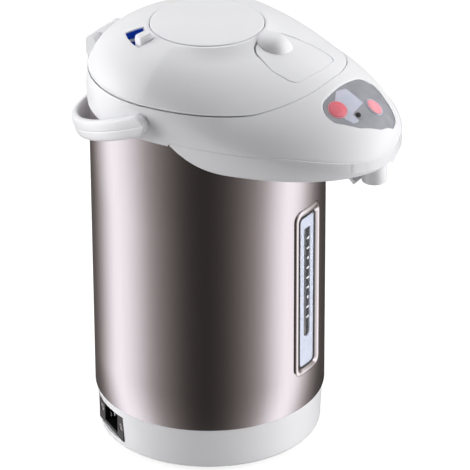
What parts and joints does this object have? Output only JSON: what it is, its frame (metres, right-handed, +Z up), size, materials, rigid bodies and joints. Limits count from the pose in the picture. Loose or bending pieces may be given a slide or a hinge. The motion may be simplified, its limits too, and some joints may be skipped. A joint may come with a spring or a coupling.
{
  "type": "electric thermo pot",
  "caption": "Electric thermo pot: steel body with level window, plastic base and snout with spout, buttons and cup lever, hinged lid with pump plate, swinging bail handle.",
  "frame": {"origin": "on the body's axis, in the plane of the foot ring that the pot stands on", "axes": "+Z up along the body's axis, -Y towards the spout, +Y towards the lid hinge"},
  "size_m": [0.209, 0.2663, 0.3503],
  "materials": {
    "white_gloss": "smooth gloss moulding",
    "casing_steel": "satin steel with a faint bronze tint",
    "pot_steel": "satin",
    "bright_metal": "plated",
    "foot_rubber": "matt",
    "silicone": "translucent matt",
    "black_plastic": "fine texture",
    "inner_plastic": "satin moulding",
    "panel_grey": "gloss, part lilac and part grey",
    "button_pink": "gloss",
    "button_pale": "gloss",
    "scale_white": "printed plate",
    "clear_pane": "clear",
    "board_green": "coated board",
    "mark_blue": "dark blue",
    "heater_metal": "cast"
  },
  "bodies": {
    "pot": {"base_shell": "white_gloss", "bottom_cover": "inner_plastic", "foot_ring": "foot_rubber", "base_screws": "bright_metal", "steel_casing": "casing_steel", "inner_pot": "pot_steel", "pot_gasket": "silicone", "heater_disc": "heater_metal", "thermostat": "black_plastic", "thermal_fuse": "silicone", "pot_outlet": "pot_steel", "suction_hose": "silicone", "pump_volute": "inner_plastic", "pump_motor": "pot_steel", "delivery_hose": "silicone", "sight_tube": "clear_pane", "tube_fittings": "foot_rubber", "scale_plate": "scale_white", "window_frame": "bright_metal", "window_pane": "clear_pane", "riser_hose": "silicone", "power_board": "board_green", "board_parts": "black_plastic", "inlet_socket": "black_plastic", "inlet_pins": "bright_metal", "inlet_screws": "bright_metal", "head_housing": "white_gloss", "mouth_deck": "inner_plastic", "snout_cover": "white_gloss", "panel_plate": "panel_grey", "status_lamp": "black_plastic", "control_board": "board_green", "key_switches": "black_plastic", "spout_tube": "white_gloss", "spout_nozzle": "silicone", "cup_lever_pin": "bright_metal", "cup_lever_spring": "bright_metal", "cup_switch": "black_plastic", "handle_pivots": "white_gloss", "hinge_pin": "bright_metal"},
    "lid": {"lid_cover": "white_gloss", "lid_liner": "inner_plastic", "lid_seal": "silicone", "liner_screws": "bright_metal", "air_valve": "foot_rubber", "lever_pin": "bright_metal", "lever_spring": "bright_metal", "bellows": "silicone", "pump_spring": "bright_metal", "lock_mark": "mark_blue"},
    "pump": {"pump_plate": "white_gloss"},
    "lock": {"lock_slide": "white_gloss"},
    "lever": {"lid_lever": "white_gloss"},
    "handle": {"handle": "white_gloss"},
    "dispense": {"dispense_button": "button_pink"},
    "reboil": {"reboil_button": "button_pale"},
    "cup_lever": {"cup_lever": "white_gloss"},
    "impeller": {"pump_impeller": "black_plastic"}
  },
  "joints": [
    {"name": "lid_hinge", "type": "hinge", "parent": "pot", "child": "lid", "pos_m": [0, 0.0945, 0.3164], "axis": [-1, 0, 0], "range_deg": [0, 80]},
    {"name": "pump_press", "type": "slide", "parent": "lid", "child": "pump", "axis": [0, 0, -1], "range_m": [0, 0.02], "stiffness_N_per_m": 400, "springref_m": -0.005, "deforming": ["bellows", "pump_spring"]},
    {"name": "lock_turn", "type": "hinge", "parent": "lid", "child": "lock", "pos_m": [0, 0, 0.336], "axis": [0, 0, -1], "range_deg": [0, 13]},
    {"name": "lever_press", "type": "hinge", "parent": "lid", "child": "lever", "pos_m": [0.004, -0.074, 0.3267], "axis": [-1, 0, 0], "range_deg": [0, 5], "stiffness_Nm_per_rad": 0.5, "springref_deg": -5.73, "deforming": ["lever_spring"]},
    {"name": "handle_swing", "type": "hinge", "parent": "pot", "child": "handle", "pos_m": [0, 0, 0.3], "axis": [1, 0, 0], "range_deg": [0, 120]},
    {"name": "dispense_press", "type": "slide", "parent": "pot", "child": "dispense", "axis": [0.228, 0.4802, -0.847], "range_m": [0, 0.0012], "stiffness_N_per_m": 500, "springref_m": -0.002},
    {"name": "reboil_press", "type": "slide", "parent": "pot", "child": "reboil", "axis": [-0.16, 0.5848, -0.7953], "range_m": [0, 0.0012], "stiffness_N_per_m": 500, "springref_m": -0.002},
    {"name": "cup_push", "type": "hinge", "parent": "pot", "child": "cup_lever", "pos_m": [0, -0.115, 0.2713], "axis": [1, 0, 0], "range_deg": [0, 12], "stiffness_Nm_per_rad": 0.05, "springref_deg": -17.19},
    {"name": "impeller_spin", "type": "hinge", "parent": "pot", "child": "impeller", "pos_m": [0, -0.057, 0.042], "axis": [0, 0, 1], "continuous": true}
  ]
}
